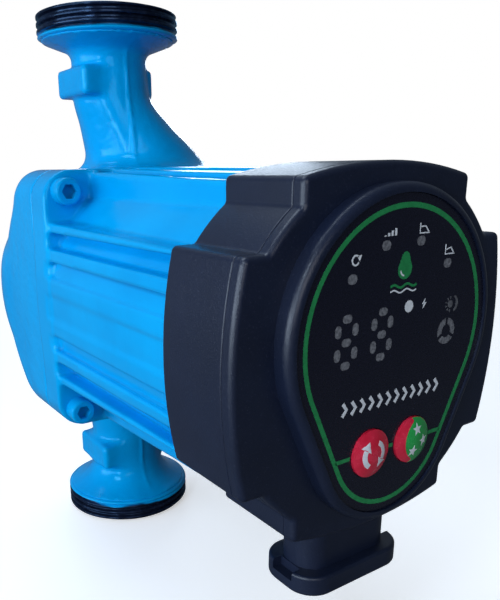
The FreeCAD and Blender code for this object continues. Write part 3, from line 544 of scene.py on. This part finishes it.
def flow_marks(white):
    """A row of arrowheads across the panel."""
    left, z, pitch, half = -15.2, -8.2, 2.65, 1.45
    marks = []
    for k in range(12):
        x = left + k * pitch
        marks.append(strip([(x - 0.5, z - half), (x + 0.65, z), (x - 0.5, z + half)], 0.85))
    print_on("flow_marks", marks, white)


def night_icon(grey):
    """Sun and moon side by side."""
    x, z = 17.0, 10.3
    rays = [strip([(x - 0.5 + 1.15 * math.cos(a), z + 1.15 * math.sin(a)),
                   (x - 0.5 + 1.75 * math.cos(a), z + 1.75 * math.sin(a))], 0.3)
            for a in np.radians(np.arange(90, 271, 36))]
    sun = blob((x - 0.5, z), np.full(24, 0.85))
    moon_edge = arc((x + 0.35, z), 1.9, -70, 70)
    moon_side = arc((x - 0.45, z), 1.93, -56, 56)
    moon = (np.stack([moon_edge, moon_side], 1), False)
    print_on("night_icon", rays + [sun, moon], grey)


def button_prints(white, green):
    """Two curved arrows on the speed button; stars on a green field on the night button."""
    left, turn_radius = (-BUTTON_X, BUTTON_Z), 2.8
    arrows = []
    for middle in (0, 180):
        bend = arc(left, turn_radius, middle + 62, middle - 30, 20)
        arrows.append(strip(bend, 1.15, rows=4))
        tip = math.radians(middle - 30)
        out = np.array([math.cos(tip), math.sin(tip)])
        ahead = np.array([out[1], -out[0]])
        base = np.array(left) + turn_radius * out
        arrows.append(fan([base + 1.45 * out, base + 2.1 * ahead, base - 1.45 * out]))
    print_on("speed_arrows", arrows, white, "speed_key", button_dome(-1))
    right = (BUTTON_X, BUTTON_Z)
    stars = [star((right[0] + dx, right[1] + dz), 1.5, turn)
             for dx, dz, turn in ((0.5, 2.7, 92), (-0.6, -2.4, 80), (2.8, -0.4, 100))]
    print_on("night_stars", stars, white, "night_key", button_dome(1), 0.07)
    outer = arc(right, BUTTON_RADIUS - 0.05, -97, 97, 40)
    inner = arc((right[0] + 1.9, right[1]), 4.95, 248, 112, 40)
    share = np.linspace(0, 1, 12)[None, :, None]
    field = outer[:, None] * (1 - share) + inner[:, None] * share
    print_on("night_field", [(field, False)], green, "night_key",
             button_dome(1), 0.025)


# --- materials -------------------------------------------------------------------------------

def node(tree, kind, inputs=None, **settings):
    """A new node with its inputs linked to sockets or set to values."""
    made = tree.nodes.new(kind)
    for key, value in settings.items():
        setattr(made, key, value)
    for key, value in (inputs or {}).items():
        if isinstance(value, bpy.types.NodeSocket):
            tree.links.new(value, made.inputs[key])
        else:
            made.inputs[key].default_value = value
    return made


def blank(name):
    """A new material with its tree, its shader and the object's coordinates."""
    material = bpy.data.materials.new(name)
    material.use_nodes = True
    tree = material.node_tree
    place = tree.nodes.new("ShaderNodeTexCoord").outputs["Object"]
    return material, tree, tree.nodes["Principled BSDF"], place


def noise(tree, place, scale, detail=2.0, roughness=0.5):
    return node(tree, "ShaderNodeTexNoise", {"Vector": place, "Scale": scale, "Detail": detail,
                                             "Roughness": roughness}).outputs["Fac"]


def spread(tree, value, low, high, to_low=0.0, to_high=1.0):
    return node(tree, "ShaderNodeMapRange", {"Value": value, "From Min": low, "From Max": high,
                                             "To Min": to_low, "To Max": to_high}).outputs["Result"]


def blend(tree, share, first, second):
    return node(tree, "ShaderNodeMixRGB", {"Fac": share, "Color1": first,
                                           "Color2": second}).outputs["Color"]


def maths(tree, operation, a, b):
    return node(tree, "ShaderNodeMath", {0: a, 1: b}, operation=operation).outputs["Value"]


def bump(tree, height, strength, distance, before=None):
    inputs = {"Height": height, "Strength": strength, "Distance": distance}
    if before is not None:
        inputs["Normal"] = before
    return node(tree, "ShaderNodeBump", inputs).outputs["Normal"]


def rgb(red, green, blue):
    """Colour from 8-bit display values."""
    def linear(value):
        value /= 255
        return value / 12.92 if value < 0.04045 else ((value + 0.055) / 1.055) ** 2.4
    return (linear(red), linear(green), linear(blue), 1)


def enamel(tree, place, shader, relief):
    """Glossy blue enamel over a rough casting, lighter on sharp outer edges as a painted highlight
    and darker in hollows as painted shade: returns its colour, and wires gloss and relief.
    """
    cloud = noise(tree, place, 35, 3)
    colour = blend(tree, spread(tree, cloud, 0.35, 0.65), rgb(0, 158, 222), rgb(0, 168, 232))
    edge = tree.nodes.new("ShaderNodeNewGeometry").outputs["Pointiness"]
    # painted highlight: sharp outer edges (high pointiness) are lightened
    colour = blend(tree, spread(tree, edge, 0.535, 0.60, 0, 0.3), colour, rgb(20, 180, 240))
    # painted shade: hollows and inner corners (low pointiness) are darkened
    colour = blend(tree, spread(tree, edge, 0.475, 0.42, 0, 0.5), colour, rgb(0, 84, 150))
    skin_relief = bump(tree, noise(tree, place, 240, 2), relief, 0.0005)
    cast_relief = bump(tree, noise(tree, place, 1300, 2, 0.6), 0.2, 0.0001, skin_relief)
    tree.links.new(cast_relief, shader.inputs["Normal"])
    rough = spread(tree, noise(tree, place, 90, 2), 0.3, 0.7, 0.13, 0.25)
    tree.links.new(rough, shader.inputs["Roughness"])
    shader.inputs["Specular Tint"].default_value = (0.1, 0.65, 1, 1)
    shader.inputs["IOR"].default_value = 1.4
    shader.inputs["Coat Weight"].default_value = 0.06
    shader.inputs["Coat Roughness"].default_value = 0.1
    return colour


def enamel_material(name, relief):
    material, tree, shader, place = blank(name)
    tree.links.new(enamel(tree, place, shader, relief), shader.inputs["Base Color"])
    return material


def collar_material():
    """Dark bare thread, with the enamel's ragged edge at its root."""
    material, tree, shader, place = blank("collar")
    blue = enamel(tree, place, shader, 0.2)
    split = node(tree, "ShaderNodeSeparateXYZ", {"Vector": place}).outputs
    ragged = maths(tree, "MULTIPLY", maths(tree, "SUBTRACT", noise(tree, place, 45, 3), 0.5), 0.004)
    height = maths(tree, "ADD", split["Z"], ragged)
    top = 2 * HALF_LENGTH * MM
    painted, bare = 0.0066, 0.0061                         # metres from a port's face
    upper = spread(tree, height, top - painted, top - bare)
    lower = spread(tree, height, painted, bare)
    edge = maths(tree, "MAXIMUM", upper, lower)
    wear = spread(tree, noise(tree, place, 400, 4, 0.7), 0.45, 0.7)
    dark = blend(tree, wear, rgb(26, 33, 54), rgb(48, 58, 84))
    tree.links.new(blend(tree, edge, blue, dark), shader.inputs["Base Color"])
    tree.links.new(spread(tree, edge, 0, 1, 0, 0.55), shader.inputs["Metallic"])
    return material


def moulded_black(name, tint=rgb(20, 27, 46), rough=(0.28, 0.42)):
    """Fine-grained black plastic that greys a little where it is handled."""
    material, tree, shader, place = blank(name)
    cloud = noise(tree, place, 60, 3)
    speck = noise(tree, place, 2600, 2, 0.6)
    colour = blend(tree, spread(tree, cloud, 0.3, 0.7, 0, 0.5), tint,
                   tuple(min(1, c * 1.7) for c in tint[:3]) + (1,))
    colour = blend(tree, spread(tree, speck, 0.62, 0.75, 0, 0.35), colour, rgb(70, 76, 98))
    tree.links.new(colour, shader.inputs["Base Color"])
    tree.links.new(spread(tree, speck, 0.3, 0.7, *rough), shader.inputs["Roughness"])
    tree.links.new(bump(tree, speck, 0.35, 0.00012), shader.inputs["Normal"])
    return material


def grainy(name, first, second, rough, metallic=0.0, scale=300, relief=0.2, distance=0.0001,
           coat=0.0, stretch=(1, 1, 1)):
    """Two close colours mixed by a grain that also drives roughness and relief."""
    material, tree, shader, place = blank(name)
    place = node(tree, "ShaderNodeMapping", {"Vector": place, "Scale": stretch}).outputs["Vector"]
    grain = noise(tree, place, scale, 3, 0.6)
    tree.links.new(blend(tree, spread(tree, grain, 0.35, 0.65), first, second),
                   shader.inputs["Base Color"])
    tree.links.new(spread(tree, grain, 0.3, 0.7, rough - 0.08, rough + 0.08),
                   shader.inputs["Roughness"])
    tree.links.new(bump(tree, grain, relief, distance), shader.inputs["Normal"])
    shader.inputs["Metallic"].default_value = metallic
    shader.inputs["Coat Weight"].default_value = coat
    return material


def dress(material, *names):
    """Give CAD nodes a material."""
    for name in names:
        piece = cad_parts[name]
        for place in piece.material_slots:
            place.material = material
        if not piece.material_slots:
            piece.data.materials.append(material)


def dress_inside():
    """Materials of everything that the housings hide."""
    steel = grainy("stainless", rgb(176, 178, 180), rgb(150, 152, 156), 0.28, 1.0, 900,
                   stretch=(1, 0.08, 1))
    dress(steel, "neck_ring", "bearing_plate", "rotor_can", "rotor_sleeve", "rotor_end_rings")
    rubber = grainy("rubber", rgb(28, 28, 29), rgb(44, 43, 42), 0.75, scale=700)
    dress(rubber, "housing_gasket", "can_gasket", "box_gasket", "cover_seal",
          "rear_bearing_holder", "thrust_ring")
    dress(grainy("impeller_plastic", rgb(206, 200, 184), rgb(190, 182, 164), 0.45, scale=240),
          "impeller", "impeller_shroud")
    ceramic = grainy("ceramic", rgb(226, 222, 212), rgb(208, 204, 196), 0.18, scale=600,
                     relief=0.05)
    dress(ceramic, "shaft", "front_bearing", "rear_bearing")
    dress(grainy("magnet", rgb(62, 60, 60), rgb(46, 45, 46), 0.55, 0.3, 500), "rotor_magnet")
    dress(grainy("laminations", rgb(112, 114, 120), rgb(70, 72, 78), 0.4, 0.9, 1500, 0.5,
                 stretch=(0.05, 1, 0.05)), "stator_core")
    dress(grainy("bobbin_plastic", rgb(214, 206, 186), rgb(196, 188, 166), 0.5), "stator_bobbins")
    dress(grainy("copper", rgb(196, 108, 64), rgb(150, 74, 44), 0.3, 1.0, 1100, 0.6,
                 stretch=(1, 1, 0.1)), "stator_coils", "motor_leads", "suppression_choke")
    dress(grainy("zinc", rgb(186, 188, 192), rgb(150, 154, 160), 0.32, 1.0, 700),
          "box_screws", "board_screws")
    dress(grainy("brass", rgb(206, 172, 96), rgb(176, 140, 70), 0.28, 1.0, 800),
          "socket_pins", "board_link")
    dress(grainy("circuit_board", rgb(24, 92, 54), rgb(18, 72, 44), 0.4, scale=420, coat=0.3),
          "power_board", "display_board")
    dress(grainy("capacitor_can", rgb(58, 66, 92), rgb(44, 50, 72), 0.35, 0.4, 500),
          "power_capacitors")
    dress(grainy("lamp_body", rgb(214, 214, 208), rgb(194, 194, 190), 0.5, scale=500),
          "digit_modules", "status_lamps")


def dress_outside():
    """The pieces built here, the prints, and materials of everything in sight."""
    cast_blue, smooth_blue = enamel_material("cast_enamel", 0.5), enamel_material("enamel", 0.12)
    dress(cast_blue, "pump_housing")
    dress(smooth_blue, "motor_housing", "housing_screws")
    pump_casting(cast_blue)
    motor_shell(smooth_blue)
    collar = collar_material()
    threaded_collar("upper_collar", 1, collar)
    threaded_collar("lower_collar", -1, collar)
    dress(moulded_black("case_plastic"), "control_box_base", "control_box_cover")
    dress(moulded_black("insert_plastic", rgb(20, 20, 22), (0.5, 0.62)), "power_socket",
          "power_module", "motor_connector", "button_switches", "speed_plunger", "night_plunger")
    film = grainy("panel_film", rgb(18, 19, 33), rgb(21, 22, 38), 0.28, scale=1800, relief=0.08)
    dress(film, "panel_overlay")
    window = grainy("window_film", rgb(138, 138, 142), rgb(84, 84, 90), 0.42, scale=1400,
                    relief=0.3)
    dress(window, "indicator_windows")
    red = grainy("button_red", rgb(226, 30, 60), rgb(238, 48, 78), 0.24, scale=300, relief=0.05,
                 coat=0.6)
    green_key = grainy("button_green", rgb(34, 164, 74), rgb(46, 178, 86), 0.24, scale=300,
                       relief=0.05, coat=0.6)
    dress(red, "speed_button", "night_button")
    green = grainy("green_ink", rgb(42, 150, 84), rgb(34, 134, 74), 0.34, scale=900, relief=0.1)
    white = grainy("white_ink", rgb(240, 241, 243), rgb(226, 228, 232), 0.36, scale=900, relief=0.1)
    grey = grainy("grey_ink", rgb(112, 112, 116), rgb(84, 84, 88), 0.42, scale=1200, relief=0.2)
    panel_prints(green, white, grey)
    button_prints(white, green_key)


# --- camera, light and floor -----------------------------------------------------------------

COOL = (0.70, 0.84, 1)


def make_camera():
    """Camera in front and to the left of the pump, a little above it."""
    azimuth, elevation, roll = math.radians(33.12), math.radians(16.45), math.radians(-0.67)
    forward = Vector((math.sin(azimuth) * math.cos(elevation),
                      math.cos(azimuth) * math.cos(elevation), -math.sin(elevation)))
    right = forward.cross(Vector((0, 0, 1))).normalized()
    up = right.cross(forward)
    turned_right = right * math.cos(roll) + up * math.sin(roll)
    turned_up = up * math.cos(roll) - right * math.sin(roll)
    data = bpy.data.cameras.new("camera")
    camera = bpy.data.objects.new("camera", data)
    bpy.context.scene.collection.objects.link(camera)
    rotation = Matrix((turned_right, turned_up, -forward)).transposed()
    place = Vector((-0.10808, -0.22055, 0.03998 + HALF_LENGTH * MM))
    camera.matrix_world = Matrix.Translation(place) @ rotation.to_4x4()
    data.sensor_width = 36.0
    data.lens = 38.65
    data.shift_x, data.shift_y = 0.0854, 0.0980
    data.clip_start = 0.01
    bpy.context.scene.camera = camera


def area_light(name, place, size, power, colour):
    """Rectangular light that faces the motor."""
    data = bpy.data.lights.new(name, "AREA")
    data.shape = "RECTANGLE"
    data.size, data.size_y = size
    data.energy = power
    data.color = colour
    light = bpy.data.objects.new(name, data)
    centre = Vector((0, -0.05, HALF_LENGTH * MM))
    light.location = place
    light.rotation_mode = "QUATERNION"
    light.rotation_quaternion = (centre - Vector(place)).to_track_quat("-Z", "Y")
    bpy.context.scene.collection.objects.link(light)


def make_studio():
    """White backdrop to look at; the light it gives is cool, and weak from in front."""
    world = bpy.data.worlds.new("world")
    bpy.context.scene.world = world
    world.use_nodes = True
    tree = world.node_tree
    seen = tree.nodes.new("ShaderNodeLightPath").outputs["Is Camera Ray"]
    ahead = tree.nodes.new("ShaderNodeTexCoord").outputs["Generated"]
    ahead = node(tree, "ShaderNodeSeparateXYZ", {"Vector": ahead}).outputs["Y"]
    glow = spread(tree, ahead, -0.7, 0.3, 0.05, 0.2)
    backdrop = tree.nodes["Background"]
    tree.links.new(blend(tree, seen, COOL + (1,), (1, 1, 1, 1)), backdrop.inputs["Color"])
    whole = node(tree, "ShaderNodeMix", {"Factor": seen, "A": glow, "B": 1.0})
    tree.links.new(whole.outputs["Result"], backdrop.inputs["Strength"])
    area_light("key", (-1.0, 0.0, 0.18), (0.9, 0.45), 7.4, COOL)
    area_light("window", (-0.67, -0.37, 0.65), (0.2, 0.2), 1.6, COOL)
    area_light("side", (-0.86, -0.60, 0.2), (0.14, 0.4), 2.2, COOL)
    area_light("top", (-0.1, 0.3, 1.0), (0.7, 0.5), 3.6, COOL)
    area_light("back", (0.62, 0.95, 0.42), (0.5, 0.25), 2.5, COOL)
    area_light("front", (-0.25, -0.62, 0.3), (0.3, 0.3), 0.75, (0.9, 0.93, 1))
    bpy.context.scene.view_settings.view_transform = "Standard"
    make_floor()


def make_floor():
    """Pale floor that fades into the backdrop away from the object."""
    half = 2.0
    mesh = bpy.data.meshes.new("floor")
    mesh.from_pydata([(-half, -half, 0), (half, -half, 0), (half, half, 0), (-half, half, 0)],
                     [], [(0, 1, 2, 3)])
    floor = bpy.data.objects.new("floor", mesh)
    floor.location.z = -0.0002
    bpy.context.scene.collection.objects.link(floor)
    material = grainy("floor", (0.92, 0.92, 0.92, 1), (0.88, 0.88, 0.88, 1), 0.7, scale=3,
                      relief=0.02)
    tree = material.node_tree
    shader = tree.nodes["Principled BSDF"]
    seen = tree.nodes.new("ShaderNodeLightPath").outputs["Is Camera Ray"]
    pale = shader.inputs["Base Color"].links[0].from_socket
    tree.links.new(blend(tree, seen, (0.14, 0.14, 0.14, 1), pale), shader.inputs["Base Color"])
    shader.inputs["Emission Color"].default_value = (1, 1, 1, 1)
    tree.links.new(spread(tree, seen, 0, 1, 0, 0.5), shader.inputs["Emission Strength"])
    place = tree.nodes["Texture Coordinate"].outputs["Object"]
    away = node(tree, "ShaderNodeVectorMath", {0: place}, operation="LENGTH").outputs["Value"]
    clear = tree.nodes.new("ShaderNodeBsdfTransparent").outputs["BSDF"]
    faded = node(tree, "ShaderNodeMixShader", {0: spread(tree, away, 0.25, 1.1),
                                               1: shader.outputs["BSDF"],
                                               2: clear})
    tree.links.new(faded.outputs["Shader"], tree.nodes["Material Output"].inputs["Surface"])
    mesh.materials.append(material)


make_camera()
make_studio()
dress_inside()
dress_outside()
